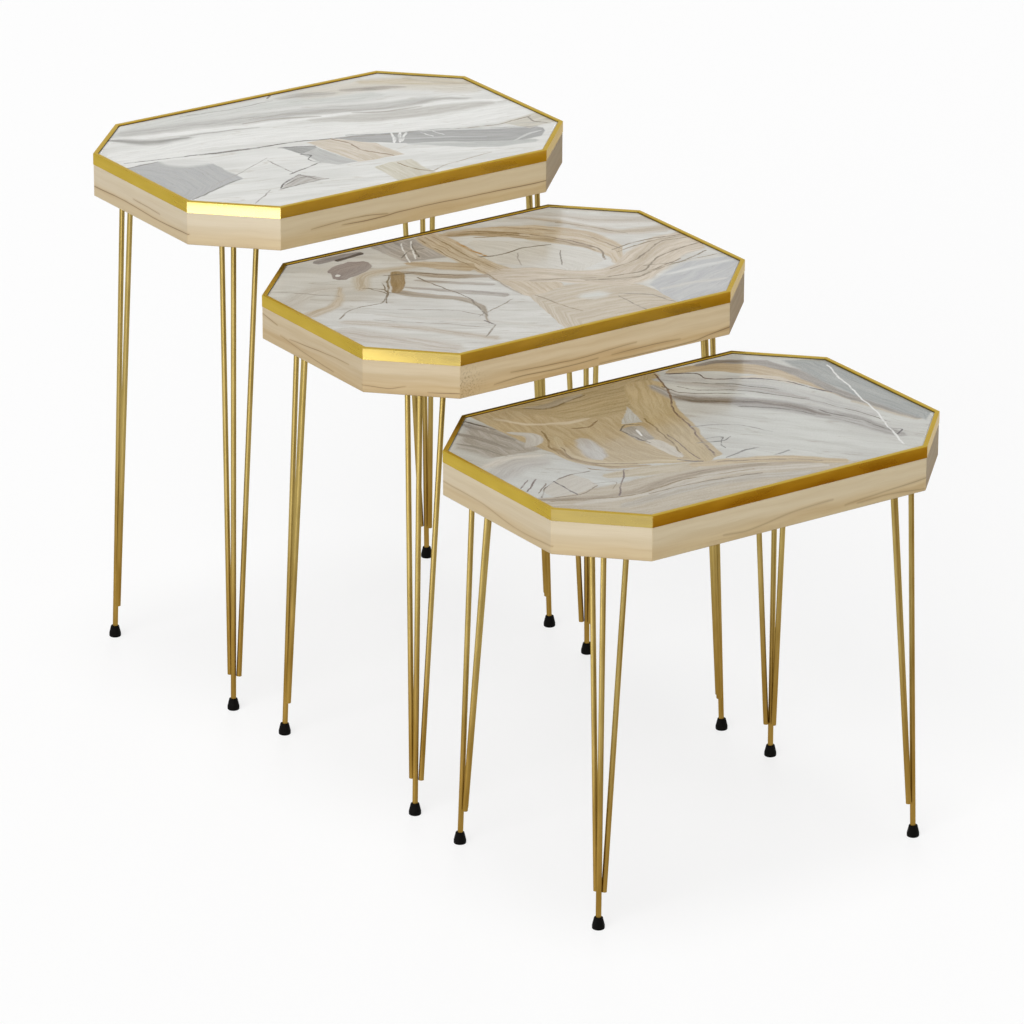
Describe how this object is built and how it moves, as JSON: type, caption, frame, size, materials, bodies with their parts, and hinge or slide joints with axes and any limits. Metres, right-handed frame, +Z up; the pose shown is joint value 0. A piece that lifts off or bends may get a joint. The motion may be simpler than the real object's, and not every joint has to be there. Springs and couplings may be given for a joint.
{
  "type": "nesting tables",
  "caption": "Free-standing nesting tables in falling heights: cut-corner tops with marble-look inlay, gold metal trim and wood sides, on splayed wire-rod legs in rubber caps.",
  "frame": {"origin": "floor level, at the middle of the row of tables, which is the middle of the medium table", "axes": "+Z up; +X along the long side of the tops; +Y along the row towards the large table, which is also the way a lower table is pushed under the next taller one"},
  "size_m": [0.5, 1.041, 0.6],
  "materials": {
    "gold_trim": "satin brushed gold",
    "gold_rod": "satin gold lacquer on steel wire",
    "apron_wood": "pale wood-grain veneer, satin",
    "core_wood": "raw particle board",
    "marble_laminate": "glossy marble-look laminate",
    "seal_rubber": "matte dark strip",
    "foot_rubber": "matte black rubber",
    "plate_steel": "satin gold lacquer on steel plate",
    "screw_steel": "zinc plated"
  },
  "bodies": {
    "large_table": {"large_front_apron_board": "apron_wood", "large_rear_apron_board": "apron_wood", "large_left_end_apron_board": "apron_wood", "large_right_end_apron_board": "apron_wood", "large_corner_apron_boards": "apron_wood", "large_core_panel": "core_wood", "large_marble_inlay": "marble_laminate", "large_rim_seal": "seal_rubber", "large_gold_edge_trim": "gold_trim", "large_front_left_leg_rods": "gold_rod", "large_front_right_leg_rods": "gold_rod", "large_rear_left_leg_rods": "gold_rod", "large_rear_right_leg_rods": "gold_rod", "large_front_left_foot": "foot_rubber", "large_front_right_foot": "foot_rubber", "large_rear_left_foot": "foot_rubber", "large_rear_right_foot": "foot_rubber", "large_leg_plates": "plate_steel", "large_plate_screws": "screw_steel"},
    "medium_table": {"medium_front_apron_board": "apron_wood", "medium_rear_apron_board": "apron_wood", "medium_left_end_apron_board": "apron_wood", "medium_right_end_apron_board": "apron_wood", "medium_corner_apron_boards": "apron_wood", "medium_core_panel": "core_wood", "medium_marble_inlay": "marble_laminate", "medium_rim_seal": "seal_rubber", "medium_gold_edge_trim": "gold_trim", "medium_front_left_leg_rods": "gold_rod", "medium_front_right_leg_rods": "gold_rod", "medium_rear_left_leg_rods": "gold_rod", "medium_rear_right_leg_rods": "gold_rod", "medium_front_left_foot": "foot_rubber", "medium_front_right_foot": "foot_rubber", "medium_rear_left_foot": "foot_rubber", "medium_rear_right_foot": "foot_rubber", "medium_leg_plates": "plate_steel", "medium_plate_screws": "screw_steel"},
    "small_table": {"small_front_apron_board": "apron_wood", "small_rear_apron_board": "apron_wood", "small_left_end_apron_board": "apron_wood", "small_right_end_apron_board": "apron_wood", "small_corner_apron_boards": "apron_wood", "small_core_panel": "core_wood", "small_marble_inlay": "marble_laminate", "small_rim_seal": "seal_rubber", "small_gold_edge_trim": "gold_trim", "small_front_left_leg_rods": "gold_rod", "small_front_right_leg_rods": "gold_rod", "small_rear_left_leg_rods": "gold_rod", "small_rear_right_leg_rods": "gold_rod", "small_front_left_foot": "foot_rubber", "small_front_right_foot": "foot_rubber", "small_rear_left_foot": "foot_rubber", "small_rear_right_foot": "foot_rubber", "small_leg_plates": "plate_steel", "small_plate_screws": "screw_steel"}
  },
  "joints": [
    {"name": "medium_table_slide", "type": "slide", "parent": "large_table", "child": "medium_table", "axis": [0, 1, 0], "range_m": [-0.15, 0.042]},
    {"name": "small_table_slide", "type": "slide", "parent": "medium_table", "child": "small_table", "axis": [0, 1, 0], "range_m": [-0.15, 0.035]}
  ]
}
